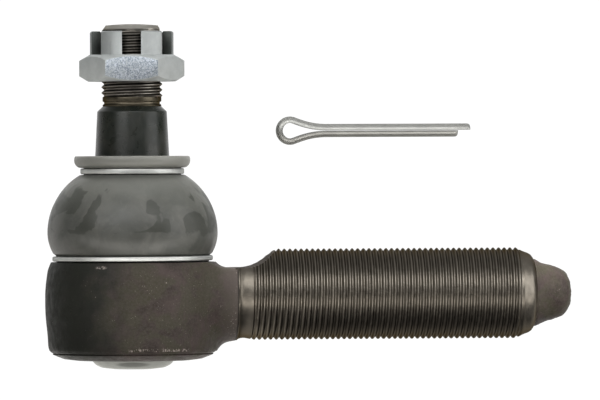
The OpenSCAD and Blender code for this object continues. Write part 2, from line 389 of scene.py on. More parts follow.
def make_forging():
    """Round socket and neck in one forging, with soft fillets where the neck leaves the socket."""
    upper_r, lower_r, barrel_z, lower_z, corner_z = 45, 60, -1.5, -9.5, SHOULDER_Z - 2.1
    upper_turn = math.degrees(math.asin((corner_z - barrel_z) / upper_r))
    lower_turn = math.degrees(math.asin((barrel_z - lower_z) / lower_r))
    barrel = ([(0, CRIMP_Z), (BARREL_R - 1.15, CRIMP_Z), (BARREL_R - 0.8, -13.6)]
              + arc((BARREL_R - lower_r, barrel_z), lower_r, -lower_turn, 0, 8)
              + arc((BARREL_R - upper_r, barrel_z), upper_r, 0, upper_turn, 6)[1:]
              + [(BARREL_R - 1.55, SHOULDER_Z), (0, SHOULDER_Z)])
    mouth = math.degrees(math.acos(12.9 / BORE_R))
    hollow = ([(-1, CRIMP_Z - 2), (BORE_R, CRIMP_Z - 2)] + arc((0, 0), BORE_R, 0, mouth, 14)
              + [(15.4, 12), (-1, 12)])
    fillet, edge = 3.4, 0.9

    def field(x, y, z):
        around = np.hypot(x, y)
        socket = distance_to_outline(around, z, barrel)
        taper = np.interp(x, [15, 25, NECK_END_X], [0.7, 0.1, -0.3])
        neck = smooth_max(np.hypot(y, z) - NECK_R - taper, z - FLAT_Z, edge)
        neck = np.maximum(smooth_max(neck, x - NECK_END_X, 0.5), 8 - x)
        body = np.maximum(smooth_min(socket, neck, fillet), z - SHOULDER_Z)
        return np.maximum(body, -distance_to_outline(around, z, hollow))

    reach = BARREL_R + 1.2
    forging = net_surface("socket_forging", field, (-reach, -reach, CRIMP_Z - 1.2),
                          (NECK_END_X + 1.2, reach, SHOULDER_Z + 1.2), 0.5)
    roughen(forging, 0.05, 3.5, within=lambda p: math.hypot(p.x, p.y) > BORE_R + 1)
    shade(forging, 50)
    return forging


def make_rim():
    """Lip that was rolled over the closing plate, with the parting line above it."""
    outline = [(BORE_R + 1.3, -14.45), (BORE_R + 1.3, -16.2), (12.3, -16.2), (12.3, RIM_Z + 0.05),
               (15.0, RIM_Z + 0.1), (18.2, RIM_Z + 0.5), (20.4, RIM_Z + 1.35), (21.3, RIM_Z + 1.75),
               (20.9, RIM_Z + 1.95), (21.5, RIM_Z + 2.2), (21.9, CRIMP_Z + 0.1),
               (21.2, CRIMP_Z + 0.5)]
    rim = revolve("socket_rim", rounded(outline, 0.35), 160)
    shade(rim)
    return rim


def make_mouth():
    """Groove for the boot's bead and the edge above it."""
    outline = [(14.5, MOUTH_Z), (13.0, SHOULDER_Z + 1.3), (15.2, SHOULDER_Z - 0.6), (18, SHOULDER_Z - 0.6),
               (18, 10.25), (18.6, 10.4), (18.6, 10.9), (18.3, MOUTH_Z)]
    mouth = revolve("socket_mouth", rounded(outline, 0.15), 128)
    shade(mouth)
    return mouth


SHANK_PROFILE = [(RELIEF_END_X - 0.6, RELIEF_R + 0.05), (RELIEF_END_X + 0.7, SHANK_R),
                 (THREAD_END_X, SHANK_R), (NUB_X - 3.2, 11.05), (NUB_X - 1.8, 10.55),
                 (NUB_X - 1.1, 10.1), (NUB_X - 0.6, 9.4), (NUB_X - 0.2, 8.6), (NUB_X + 0.3, 7.2)]


def shank_limit(x):
    """Greatest radius along the shank: the thread starts shallow, and rounds in to the nub at its end."""
    return np.interp(x, *zip(*SHANK_PROFILE))


def make_shank():
    """Left-hand threaded shank with its relief, cut away at the top by the neck's flat."""
    end_x = NUB_X + 0.2
    shank = threaded_rod("shank_thread", SHANK_R, -1, RELIEF_END_X - 0.6, end_x, shank_limit, 160, "X")
    hollow = [(0.50, -1.0), (0.50, 0.0), (0.30, 0.20), (0.14, 0.45), (0.02, 0.8), (-0.07, 1.2), (-0.11, 1.6),
              (-0.11, 2.0), (-0.06, 2.4), (0.01, 2.8), (0.09, 3.2), (0.16, 3.6), (-0.5, 4.2)]
    outline = [(RELIEF_R + lift, NECK_END_X + x) for lift, x in hollow]
    relief = revolve("relief", [(0, outline[0][1])] + outline + [(0, outline[-1][1])], 160, "X")
    combine(shank, relief, "UNION")
    fillet_r, flat_end_x, fillet_turn, run_out_x, beyond = 9.5, 28.9, 42, 38.6, 20
    cutter = extrude_across(
        "flat_cutter",
        [(NECK_END_X - 3, FLAT_Z)]
        + arc((flat_end_x, FLAT_Z + fillet_r), fillet_r, -90, fillet_turn - 90, 20)
        + [(run_out_x, 12.6), (run_out_x, beyond), (NECK_END_X - 3, beyond)], beyond)
    combine(shank, cutter, "DIFFERENCE")
    shade(shank, 28)
    return shank


def make_nub():
    """Raw end of the forging, which the turning left uneven where it begins."""
    outline = [(0, NUB_X - 3), (8.6, NUB_X - 3), (9.0, NUB_X - 1.2), (8.75, NUB_X + 0.2), (8.0, NUB_X + 1.7),
               (7.35, NUB_X + 3.8), (6.7, TIP_X - 3.9), (5.95, TIP_X - 2.3), (4.8, TIP_X - 1.2),
               (3.2, TIP_X - 0.5), (1.5, TIP_X - 0.25), (0, TIP_X - 0.2)]
    nub = revolve("shank_nub", divided(rounded(outline, 0.9), 0.5), 96, "X")
    roughen(nub, 0.20, 3.2, 4)
    roughen(nub, 0.08, 0.9, 2)
    limit_x = (TIP_X - 0.02) * MM
    for vertex in nub.data.vertices:
        vertex.co.x = min(vertex.co.x, limit_x)
    shade(nub, 60)
    return nub


# ---------------------------------------------------------------- ball stud

def cone_r(z):
    """Radius of the 1 in 10 cone at a height."""
    return CONE_FOOT_R - (z - CONE_FOOT_Z) / 20


def make_stud():
    """Ball, waist, 1 in 10 cone and the undercut below the thread."""
    ball_r, flat_z = 13.5, -12.2
    start = -math.degrees(math.asin(-flat_z / ball_r))
    end = math.degrees(math.acos(8.1 / ball_r))
    outline = ([(0, flat_z)] + arc((0, 0), ball_r, start, end, 40)
               + [(7.6, 12.2), (7.6, 15.6), (8.1, 18.8), (9.2, 24.5), (cone_r(28.4), 28.4),
                  (cone_r(CONE_FOOT_Z), CONE_FOOT_Z), (cone_r(CONE_TOP_Z), CONE_TOP_Z),
                  (8.0, 49.35), (7.7, 49.7), (0, 49.7)])
    stud = revolve("stud_body", rounded(outline, 0.22), 144)
    shade(stud, 30)
    return stud


def make_collar():
    """Bright turned rings between the cone and the thread."""
    outline = [(0, 49.6), (7.7, 49.6), (7.75, 50.1), (7.35, 50.3), (7.35, 50.8), (7.75, 50.95), (7.75, 52.1),
               (6.8, 52.5), (0, 52.5)]
    collar = revolve("stud_collar", rounded(outline, 0.12), 144)
    shade(collar, 30)
    return collar


def make_stud_thread():
    """Right-hand M16 x 1.5 thread with a slightly domed end and the split pin's cross hole."""
    start_z, end_z, end_r = 51.9, STUD_TIP_Z - 0.35, 6.8

    def limit(z):
        tip = np.interp(z, [STUD_TIP_Z - 1.9, end_z], [STUD_R, end_r])
        return np.minimum(tip, 7.6 + np.clip(z - start_z, 0, 1))

    rod = threaded_rod("stud_thread", STUD_R, 1, start_z, end_z, limit, 128, "Z")
    dome = [(end_r * f, STUD_TIP_Z - 0.35 * f * f) for f in (1, 0.8, 0.6, 0.4, 0.2)]
    outline = [(0, end_z - 1), (end_r - 0.4, end_z - 1)] + dome + [(0, STUD_TIP_Z)]
    combine(rod, revolve("dome", outline, 96), "UNION")
    hole = revolve("hole", [(0, -12), (CROSS_HOLE_R, -12), (CROSS_HOLE_R, 12), (0, 12)], 48, "X")
    turned(hole, SLOT_ANGLES[0]).data.transform(Matrix.Translation((0, 0, CROSS_HOLE_Z * MM)))
    combine(rod, hole, "DIFFERENCE")
    shade(rod, 28)
    return rod


# ---------------------------------------------------------------- nut, rings, boot and plate

def make_nut():
    """Castle nut: chamfered hexagon, round crown and three slots right across it."""
    foot, hex_top, top = NUT_LOW.z, NUT_LOW.z + 7.0, NUT_HIGH.z
    corner_r = NUT_HIGH.x / math.cos(math.radians(NUT_TURN))
    crown_r, bore, half_slot = 11.0, STUD_R + 0.06, 2.5
    hexagon = revolve("castle_nut_body", [(0, foot), (corner_r, foot), (corner_r, hex_top), (0, hex_top)], 6)
    turned(hexagon, NUT_TURN)
    shape = revolve("shape", [(0, foot - 0.001), (11.5, foot - 0.001), (16, foot + 2.73), (16, hex_top - 2.8),
                              (crown_r + 0.2, hex_top + 0.001), (0, hex_top + 0.001)], 144)
    combine(hexagon, shape, "INTERSECT")
    crown = revolve("crown", [(0, foot + 2), (crown_r, foot + 2), (crown_r, top - 0.35),
                              (crown_r - 0.35, top), (0, top)], 144)
    combine(hexagon, crown, "UNION")
    inside = revolve("bore", [(0, foot - 1), (10.2, foot - 1), (bore, foot + 0.9), (bore, top - 0.5),
                              (bore + 1.4, top + 0.9), (0, top + 0.9)], 144)
    combine(hexagon, inside, "DIFFERENCE")
    for turn in SLOT_ANGLES:
        opening = [(-16, hex_top), (16, hex_top), (16, top + 2), (-16, top + 2)]
        slot = extrude_across("slot", opening, half_slot)
        combine(hexagon, turned(slot, turn), "DIFFERENCE")
    bevel(hexagon, width=0.13, segments=2, angle=25)
    shade(hexagon, 40)
    return hexagon


def make_lower_ring():
    """Two turns of spring wire, side by side."""
    wire_r, ring_r, low_z, high_z = 0.45, 20.7, SHOULDER_Z + 0.56, SHOULDER_Z + 1.42
    steps, sides, turns = 320, 14, 2.12
    rings = []
    for i in range(steps + 1):
        t = i / steps
        turn = 2 * math.pi * turns * t + math.radians(80)
        height = low_z + (high_z - low_z) * t
        end = min(i, steps - i)
        thick = wire_r * min(1, (0.55, 0.85, 0.97, 1)[min(end, 3)])
        ring = []
        for j in range(sides):
            a = -2 * math.pi * j / sides
            r = ring_r + thick * math.cos(a)
            ring.append((r * math.cos(turn), r * math.sin(turn), height + thick * math.sin(a)))
        rings.append(ring)
    ring = sweep("lower_ring_wire", rings)
    repair_normals(ring)
    shade(ring, 60)
    return ring


def make_upper_ring():
    """Flat band round the boot's neck."""
    outline = [(12.75, 31.85), (13.45, 31.85), (13.67, 32.1), (13.67, 33.1), (13.45, 33.35), (12.75, 33.35)]
    ring = revolve("upper_ring_band", rounded(outline, 0.18), 160)
    shade(ring)
    return ring


def make_boot():
    """Moulded rubber boot: bead, domed wall, ring seat and sealing lip."""
    belly_z, boot_r, top_r, low_r, wall = 16.4, BOOT_HIGH.x, 17.8, 10.6, 2.2
    bead_r, bead_z, lip_z = 20.15, SHOULDER_Z + 0.1, BOOT_HIGH.z
    outline = ([(18.05, bead_z), (bead_r, bead_z), (bead_r, SHOULDER_Z + 1.8)]
               + arc((boot_r - low_r, belly_z), low_r, -31, 0, 14)
               + arc((boot_r - top_r, belly_z), top_r, 2, 59, 34)
               + [(12.7, 31.7), (12.7, 33.45), (13.9, 33.5), (14.45, 33.75), (14.95, 34.25), (15.22, 34.9),
                  (15.3, 35.5), (15.22, 36.2), (15.0, lip_z), (cone_r(lip_z) + 0.06, lip_z),
                  (cone_r(35.35) + 0.06, 35.35), (13.65, 35.35), (13.65, 34.65), (11.4, 34.65), (11.4, 31)]
               + arc((boot_r - top_r, belly_z), top_r - wall, 56, 5, 20)
               + arc((boot_r - low_r, belly_z), low_r - wall, 0, -31, 8)
               + [(18.7, 11.3), (18.7, 10.35), (18.05, 10.2)])
    boot = revolve("boot_skin", divided(rounded(outline, 0.35, 4), 0.8), 192)
    roughen(boot, 0.035, 7.0, 2)
    shade(boot, 50)
    return boot


def make_plate():
    """Pressed cap whose dome stands below the rolled rim."""
    low = PLATE_Z
    outline = [(0, low), (5, low + 0.1), (8.35, low + 0.5), (9.67, low + 1.15), (10.3, low + 1.7),
               (10.6, -17.4), (11.1, -16.7), (11.9, -16.15), (17.6, -16.15), (17.6, -15.9), (16.2, -14.5),
               (10.2, -14.5), (9.7, -15.2), (9.3, -16.6), (8.8, -17.1), (7.8, -17.55), (0, -17.9)]
    plate = revolve("closing_cap", rounded(outline, 0.5, 5, 8), 128)
    shade(plate, 40)
    return plate


def make_pin():
    """Split pin: a round eye and two half-round legs of unequal length."""
    leg_r, eye_out, gap, slope, bend_r, short_by = 1.70, 3.75, 0.05, 20, 22, 3.3
    eye_in, eye_x = eye_out - leg_r, PIN_LOW.x + eye_out
    pin_z = (PIN_LOW.z + PIN_HIGH.z) / 2
    slope_cos, slope_sin = math.cos(math.radians(slope)), math.sin(math.radians(slope))
    side = (eye_in * slope_cos - gap - bend_r * (1 - slope_cos)) / slope_sin
    bend_x = eye_x + eye_in * slope_sin + side * slope_cos + bend_r * slope_sin

    def half_path(leg_end):
        path = []
        for a in np.linspace(180, 90 - slope, 29):
            turn = math.radians(a)
            path.append((eye_x + eye_in * math.cos(turn), eye_in * math.sin(turn), a, 1))
        for a in np.linspace(slope, 0, 17):
            turn = math.radians(a)
            path.append((bend_x - bend_r * math.sin(turn), gap + bend_r * (1 - math.cos(turn)), 90 - a, 1))
        for back, scale in ((1.0, 1), (0.45, 0.96), (0.15, 0.84), (0, 0.62)):
            path.append((leg_end - back, gap + 0.02 * (1 - scale), 90, scale))
        return path

    def mirrored(path):
        return [(x, -z, -a, s) for x, z, a, s in path]

    upper, lower = half_path(PIN_HIGH.x), mirrored(half_path(PIN_HIGH.x - short_by))
    section = rounded([(leg_r * math.cos(math.radians(a)), leg_r * math.sin(math.radians(a)))
                       for a in np.linspace(90, -90, 19)], 0.5, 4, 60)
    rings = []
    for x, z, a, scale in upper[::-1] + lower[1:]:
        along, up = scale * math.cos(math.radians(a)), scale * math.sin(math.radians(a))
        rings.append([(x + out * along, across * scale, pin_z + z + out * up) for out, across in section])
    pin = sweep("split_pin_wire", rings)
    repair_normals(pin)
    shade(pin, 45)
    return pin


# ---------------------------------------------------------------- materials

class Finish:
    """A procedural material: a Principled shader and the nodes that feed it."""

    def __init__(self, name, **sockets):
        self.material = bpy.data.materials.new(name)
        self.material.use_nodes = True
        self.tree = self.material.node_tree
        self.shader = self.tree.nodes["Principled BSDF"]
        self.place = self.add("ShaderNodeTexCoord").outputs["Object"]
        self.normal = None
        for socket, value in sockets.items():
            self.shader.inputs[socket.replace("_", " ")].default_value = value

    def add(self, kind, inputs=None, **settings):
        """A new node. Inputs, by name or number, are values or other nodes' outputs."""
        node = self.tree.nodes.new(kind)
        for key, value in settings.items():
            setattr(node, key, value)
        for key, value in (inputs or {}).items():
            self.feed(node.inputs[key], value)
        return node

    def feed(self, socket, value):
        """Links an output to a socket, or sets the socket's value."""
        if isinstance(value, bpy.types.NodeSocket):
            self.tree.links.new(value, socket)
        else:
            socket.default_value = value

    def stretched(self, x, y, z):
        """The place on the surface, scaled along each axis."""
        return self.add("ShaderNodeMapping", {"Vector": self.place, "Scale": (x, y, z)}).outputs["Vector"]

    def noise(self, size, detail=3, roughness=0.55, distortion=0, place=None):
        """Fractal noise of about that size in millimetres."""
        node = self.add("ShaderNodeTexNoise", {"Vector": place or self.place, "Scale": 1 / (size * MM),
                                               "Detail": detail, "Roughness": roughness,
                                               "Distortion": distortion})
        return node.outputs["Fac"]

    def remap(self, value, low, high, to_low=0.0, to_high=1.0):
        """Maps low to to_low and high to to_high, and holds the value at those ends."""
        return self.add("ShaderNodeMapRange", {"Value": value, "From Min": low, "From Max": high,
                                               "To Min": to_low, "To Max": to_high}).outputs["Result"]

    def near(self, spot, radius, flatness=1.0):
        """1 near a spot in millimetres and 0 beyond the radius. Flatness squashes the patch along Z."""
        target = (spot[0] * MM, spot[1] * MM, spot[2] * flatness * MM)
        away = self.vector_math("DISTANCE", self.stretched(1, 1, flatness), target).outputs["Value"]
        return self.remap(away, radius * MM, 0.6 * radius * MM)

    def math(self, operation, a, b=0.0):
        """Output of a Math node."""
        node = self.add("ShaderNodeMath", operation=operation)
        self.feed(node.inputs[0], a)
        self.feed(node.inputs[1], b)
        return node.outputs[0]

    def vector_math(self, operation, *vectors):
        """A Vector Math node, which has the outputs Vector and Value."""
        return self.add("ShaderNodeVectorMath", dict(enumerate(vectors)), operation=operation)

    def mix(self, factor, a, b):
        """Colour a where factor is 0 and b where it is 1."""
        node = self.add("ShaderNodeMix", data_type="RGBA")
        self.feed(node.inputs[0], factor)
        for socket, colour in ((node.inputs[6], a), (node.inputs[7], b)):
            self.feed(socket, colour if isinstance(colour, bpy.types.NodeSocket) else (*colour, 1))
        return node.outputs[2]

    def bump(self, height, strength, depth):
        """Adds relief of about depth millimetres."""
        node = self.add("ShaderNodeBump", {"Height": height, "Strength": strength, "Distance": depth * MM})
        if self.normal:
            self.feed(node.inputs["Normal"], self.normal)
        self.normal = node.outputs["Normal"]
        self.feed(self.shader.inputs["Normal"], self.normal)

    def colour(self, value):
        self.feed(self.shader.inputs["Base Color"], value)

    def roughness(self, value):
        self.feed(self.shader.inputs["Roughness"], value)


def forging_finish(name, tone, fade=None):
    """Mottled dark scale with fine pale specks. With fade, the scale has painted shade at the far side of the
    socket and at the step where the neck ends, is paler along X between the two ends of fade, and has a row
    of crimping marks above the rim."""
    f = Finish(name, Specular_IOR_Level=0.14)
    parts = f.add("ShaderNodeSeparateXYZ", {"Vector": f.place}).outputs

    def shade_of(*colour):
        return tuple(tone * c for c in colour)

    grain = f.noise(0.55, 5, 0.7)
    base = f.mix(f.remap(f.noise(8, 4, 0.65, 0.6), 0.36, 0.64),
                 shade_of(0.026, 0.021, 0.018), shade_of(0.060, 0.044, 0.041))
    olive = f.remap(f.noise(7, 4, 0.6, 0.8), 0.44, 0.56, 0, 0.9)
    base = f.mix(olive, base, shade_of(0.044, 0.042, 0.027))
    base = f.mix(f.remap(grain, 0.40, 0.75, 0, 0.8), base, shade_of(0.076, 0.061, 0.053))
    spread = f.remap(f.noise(6, 3, 0.6), 0.4, 0.65, -0.06, 0.015)
    marks = 0.0
    if fade:
        # Painted shade: darker towards the far side of the socket, away from the shank.
        wavering = f.math("ADD", parts["X"], f.remap(f.noise(6, 3), 0.3, 0.7, -3 * MM, 3 * MM))
        base = f.mix(f.remap(wavering, -2 * MM, -13 * MM, 0, 0.9), base, shade_of(0.011, 0.013, 0.010))
        base = f.mix(f.remap(parts["X"], fade[0] * MM, fade[1] * MM, 0, 0.8), base, (0.082, 0.068, 0.060))
        # Painted shade at the step where the neck ends.
        painted_step_shade = f.remap(parts["X"], (NECK_END_X - 0.8) * MM, (NECK_END_X - 0.4) * MM)
        base = f.mix(f.math("MULTIPLY", painted_step_shade, 0.9), base, (0.010, 0.009, 0.007))
        # Fewer pale specks on the far side and at the step, where the painted shade lies.
        spread = f.math("ADD", spread, f.remap(parts["X"], -12 * MM, 3 * MM, -0.05, 0))
        spread = f.math("SUBTRACT", spread, f.math("MULTIPLY", painted_step_shade, 0.3))
        spread = f.math("ADD", spread, f.remap(parts["X"], (fade[1] - 2) * MM, (fade[1] + 1) * MM, 0, 0.09))
        height = f.math("ABSOLUTE", f.math("SUBTRACT", parts["Z"], (CRIMP_Z + 0.6) * MM))
        along = f.math("ABSOLUTE", f.math("SUBTRACT", parts["X"], 5.0 * MM))
        row = f.math("MULTIPLY", f.remap(height, 0.45 * MM, 0.25 * MM), f.remap(along, 8.5 * MM, 7.5 * MM))
        ticks = f.remap(f.noise(0.35, 1, 0.5, 0, f.stretched(1, 1, 0.3)), 0.52, 0.60)
        chipped = f.remap(f.noise(0.8, 3, 0.7), 0.5, 0.6)
        nick = f.math("MULTIPLY", f.near((-10.2, -20.2, 7.5), 2.0, 3.5), chipped)
        marks = f.math("MAXIMUM", f.math("MULTIPLY", row, ticks), nick)
    specks = f.remap(f.math("ADD", f.noise(0.36, 2, 0.5), spread), 0.67, 0.75)
    f.colour(f.mix(f.math("MAXIMUM", specks, marks), base, (0.22, 0.19, 0.17)))
    f.roughness(f.remap(f.noise(2.0, 4), 0.3, 0.7, 0.42, 0.66))
    f.bump(f.noise(1.6, 4, 0.6), 0.35, 0.25)
    f.bump(grain, 0.4, 0.08)
    return f.material


def machined_finish(name, bright, dark, axis, crest_r, start, end, tip=None):
    """Oiled turned steel. Between start and end it has painted highlights on the thread's crests and in its
    roots, and painted shade on the flanks. Beyond them it is bright, apart from what was cut in below the
    roots, and it fades into painted shade from 2.7 to 3.6 mm before start. With tip, the end takes on that
    colour as a painted highlight."""
    f = Finish(name, Specular_Tint=(0.30, 0.28, 0.25, 1))
    parts = f.add("ShaderNodeSeparateXYZ", {"Vector": f.place}).outputs
    a, b = (parts["Y"], parts["Z"]) if axis == "X" else (parts["X"], parts["Y"])
    radius = f.math("SQRT", f.math("ADD", f.math("MULTIPLY", a, a), f.math("MULTIPLY", b, b)))
    root_r, half_depth = crest_r - THREAD_DEPTH, THREAD_DEPTH / 2 * MM
    # Painted light: the crests and the roots take the bright colour as painted highlights, the flanks take
    # the dark colour as painted shade.
    off_middle = f.math("ABSOLUTE", f.math("SUBTRACT", radius, root_r * MM + half_depth))
    painted_light = f.remap(off_middle, 0.5 * half_depth, 0.95 * half_depth)
    before = f.remap(parts[axis], start * MM, (start - 0.2) * MM, 0, 0.5)
    outside = f.remap(radius, (root_r - 0.3) * MM, (root_r - 0.1) * MM)
    beyond = f.remap(parts[axis], (end - 0.4) * MM, (end + 0.4) * MM)
    bare = f.math("MAXIMUM", outside, beyond)
    painted_light = f.math("MAXIMUM", f.math("MAXIMUM", painted_light, before), beyond)
    # Painted shade: the bright colour fades out from 2.7 to 3.6 mm before start.
    step = f.remap(parts[axis], (start - 3.6) * MM, (start - 2.7) * MM)
    painted_light = f.math("MULTIPLY", f.math("MULTIPLY", painted_light, bare), step)
    oil = f.remap(f.noise(6, 4, 0.6, 0.5), 0.35, 0.7)
    stretch = f.stretched(1, 0.02, 0.02) if axis == "X" else f.stretched(0.02, 0.02, 1)
    turning = f.noise(0.12, 2, 0.5, 0, stretch)
    tint = f.mix(oil, bright, tuple(0.72 * c for c in bright))
    # Painted highlight: beyond end, the surface takes the tip colour.
    tint = f.mix(beyond, tint, tip) if tip else tint
    f.colour(f.mix(bare, (0.032, 0.027, 0.023), f.mix(painted_light, dark, tint)))
    f.feed(f.shader.inputs["Metallic"], bare)
    smooth = f.remap(f.noise(1.5, 4), 0.3, 0.7, 0.28, 0.44)
    f.roughness(f.math("MAXIMUM", smooth, f.remap(bare, 0, 1, 0.95, 0)))
    f.bump(turning, 0.12, 0.03)
    f.bump(f.noise(0.5, 3), 0.12, 0.03)
    return f.material


def cone_finish():
    """Dark phosphate over turned steel, with faint oily patches."""
    f = Finish("stud_phosphate", Specular_IOR_Level=0.34)
    patch = f.remap(f.noise(7, 3, 0.6, 0.8), 0.4, 0.66)
    f.colour(f.mix(patch, (0.008, 0.011, 0.008), (0.020, 0.021, 0.016)))
    f.roughness(f.remap(f.noise(2.5, 4), 0.3, 0.7, 0.22, 0.38))
    f.bump(f.noise(0.22, 2, 0.5, 0, f.stretched(0.02, 0.02, 1)), 0.15, 0.02)
    f.bump(f.noise(0.4, 3), 0.12, 0.03)
    return f.material


def rubber_finish():
    """Smooth moulded rubber with a grey bloom, painted light high up and painted dark reflections."""
    f = Finish("boot_rubber", Specular_IOR_Level=0.42)
    bloom = f.remap(f.noise(8, 4, 0.6, 0.9), 0.38, 0.68)
    fine = f.noise(1.2, 4, 0.6)
    base = f.mix(bloom, (0.050, 0.052, 0.046), (0.080, 0.080, 0.071))
    base = f.mix(f.remap(fine, 0.55, 0.8, 0, 0.2), base, (0.15, 0.15, 0.135))
    place = f.add("ShaderNodeSeparateXYZ", {"Vector": f.place}).outputs
    # Painted light: paler towards the top of the wall.
    base = f.mix(f.remap(place["Z"], 21 * MM, 30 * MM, 0, 0.55), base, (0.115, 0.116, 0.103))
    # Dark patches of painted reflection in a band round the wall.
    height = f.math("ADD", place["Z"], f.remap(f.noise(6, 3), 0.3, 0.7, -1.5 * MM, 1.5 * MM))
    painted_dark_reflection = f.remap(f.math("ABSOLUTE", f.math("SUBTRACT", height, 22 * MM)), 5.6 * MM, 5.0 * MM)
    painted_dark_reflection = f.math("MULTIPLY", painted_dark_reflection, f.remap(f.noise(11, 3, 0.5, 0.8), 0.535, 0.555))
    base = f.mix(f.math("MULTIPLY", painted_dark_reflection, 0.75), base, (0.026, 0.028, 0.022))
    # Painted light: the lip above 33.2 mm is paler.
    f.colour(f.mix(f.remap(place["Z"], 33.2 * MM, 34.2 * MM, 0, 0.8), base, (0.20, 0.20, 0.18)))
    f.roughness(f.remap(f.noise(7, 4, 0.6, 1.4), 0.40, 0.60, 0.34, 0.50))
    f.bump(f.noise(3.5, 3, 0.5, 0.5), 0.12, 0.12)
    f.bump(fine, 0.2, 0.02)
    return f.material


def zinc_finish(name, base, rough, metallic, crown_z=None, painted_shade_spot=None):
    """Zinc plate with soft mottle. With crown_z it is a nut's: on what faces squarely along Y below that
    height, the plate's own bluish crystal, dulled by painted shade and lit by glints that are painted
    highlights, and above it a crown darkened by painted shade, darker still on its slot walls and bore. The
    last argument puts a dark patch of painted shade at a spot."""
    f = Finish(name, Metallic=metallic, Specular_Tint=(0.25, 0.26, 0.26, 1))
    tone = f.remap(f.noise(3.5, 4, 0.6), 0.3, 0.7)
    plate = f.mix(tone, base, tuple(0.84 * c for c in base))
    if crown_z:
        normal = f.add("ShaderNodeTexCoord").outputs["Normal"]
        facing = f.add("ShaderNodeSeparateXYZ", {"Vector": normal}).outputs
        height = f.add("ShaderNodeSeparateXYZ", {"Vector": f.place}).outputs["Z"]
        # Partly the plate's crystal, partly painted light: on faces square to Y, a duller tone of painted
        # shade, dark pits, and glints that are painted highlights.
        amount = f.math("MULTIPLY", f.remap(f.math("ABSOLUTE", facing["Y"]), 0.96, 0.985, 0, 0.8),
                        f.remap(height, crown_z * MM, (crown_z - 0.2) * MM))
        crystal = f.noise(0.5, 2, 0.6, 1.5)
        pit = f.math("MULTIPLY", f.remap(crystal, 0.52, 0.40), amount)
        glint = f.math("MULTIPLY", f.remap(crystal, 0.52, 0.62), amount)
        plate = f.mix(amount, plate, (0.38, 0.42, 0.45))
        plate = f.mix(pit, plate, (0.16, 0.19, 0.24))
        plate = f.mix(glint, plate, (0.56, 0.60, 0.68))
        # Painted shade: the crown darker than the hexagon.
        crown = f.remap(height, (crown_z + 0.2) * MM, (crown_z + 0.4) * MM)
        plate = f.mix(f.math("MULTIPLY", crown, 0.60), plate, tuple(0.45 * c for c in base))
        # Painted shade, darker still, on the slot walls and in the bore.
        outward = f.vector_math("NORMALIZE", f.stretched(1, 1, 0)).outputs["Vector"]
        leaning = f.vector_math("DOT_PRODUCT", outward, normal).outputs["Value"]
        inner = f.math("MULTIPLY", f.remap(leaning, 0.6, 0.3), f.remap(facing["Z"], 0.7, 0.4))
        plate = f.mix(f.math("MULTIPLY", inner, f.math("MULTIPLY", crown, 0.9)), plate, (0.055, 0.062, 0.057))
    # A dark patch of painted shade at the given spot.
    if painted_shade_spot:
        plate = f.mix(f.math("MULTIPLY", f.near(painted_shade_spot, 5.0, 6.0), 0.6), plate, (0.05, 0.052, 0.046))
    f.colour(plate)
    f.roughness(f.remap(f.noise(1.2, 4), 0.3, 0.7, rough - 0.05, rough + 0.07))
    f.bump(f.noise(0.8, 3), 0.12, 0.05)
    return f.material


def plain_finish(name, base, metallic, rough, size):
    """A quiet finish for what is inside: slight mottle and fine relief."""
    f = Finish(name, Metallic=metallic)
    mottle = f.remap(f.noise(size, 4), 0.3, 0.7)
    f.colour(f.mix(mottle, base, tuple(0.85 * c for c in base)))
    f.roughness(f.remap(f.noise(size / 3, 3), 0.3, 0.7, rough - 0.08, rough + 0.08))
    f.bump(f.noise(0.5, 3), 0.15, 0.03)
    return f.material


def dress(piece, material):
    """Gives a piece one material in place of any that it has."""
    piece.data.materials.clear()
    piece.data.materials.append(material)


# ---------------------------------------------------------------- the pieces, dressed and joined to the frame

forging = forging_finish("forging_scale", 0.82, (21, 26))
nub_scale = forging_finish("nub_scale", 1.35)
# The second colour of each machined finish is the painted shade on the flanks.
shank_steel = machined_finish("shank_steel", (0.235, 0.212, 0.178), (0.11, 0.098, 0.081), "X",
                              SHANK_R, RELIEF_END_X - 0.3, THREAD_END_X + 1.0)
# The stud thread's last colour is a painted highlight on its end.
thread_steel = machined_finish("stud_thread_steel", (0.29, 0.27, 0.24), (0.045, 0.041, 0.035), "Z",
                               STUD_R, 52.0, STUD_TIP_Z - 1.5, (0.55, 0.53, 0.48))
collar_steel = machined_finish("stud_collar_steel", (0.15, 0.13, 0.095), (0.045, 0.04, 0.028), "Z",
                               STUD_R, 53.0, 53.1)
phosphate = cone_finish()
rubber = rubber_finish()
nut_zinc = zinc_finish("nut_zinc", (0.53, 0.555, 0.55), 0.50, 0.75, NUT_LOW.z + 6.8)
ring_zinc = zinc_finish("ring_zinc", (0.60, 0.61, 0.59), 0.42, 0.75)
pin_zinc = zinc_finish("pin_zinc", (0.37, 0.37, 0.35), 0.38, 0.8)
# The dark spot on the cap's front is painted shade.
plate_zinc = zinc_finish("plate_zinc", (0.33, 0.34, 0.32), 0.45, 0.25, painted_shade_spot=(-0.8, -9.2, -18.1))

